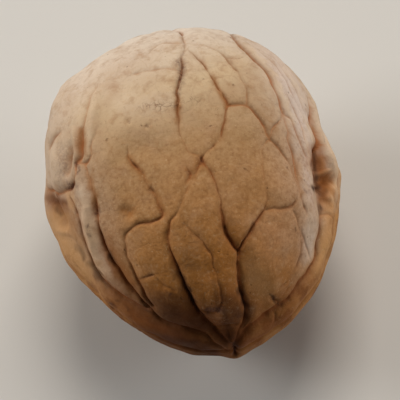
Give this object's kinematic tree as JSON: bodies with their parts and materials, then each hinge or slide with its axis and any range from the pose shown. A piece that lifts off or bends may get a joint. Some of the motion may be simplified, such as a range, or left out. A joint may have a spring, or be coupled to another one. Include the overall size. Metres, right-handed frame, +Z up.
{
  "type": "walnut",
  "caption": "Whole walnut in its closed shell, with a raised rim along the seam, a pointed tip and a wrinkled net of grooves, lying on one cheek.",
  "frame": {"origin": "on the resting face under the rear cheek, below the middle of the nut", "axes": "+X across the nut in the plane of its seam, +Y from the tip toward the stem end, +Z up, square to the plane of the seam"},
  "size_m": [0.0358, 0.0416, 0.0335],
  "materials": {
    "shell": "dry, matt, tan nutshell"
  },
  "bodies": {
    "root": {"walnut_shell": "shell"}
  },
  "joints": []
}
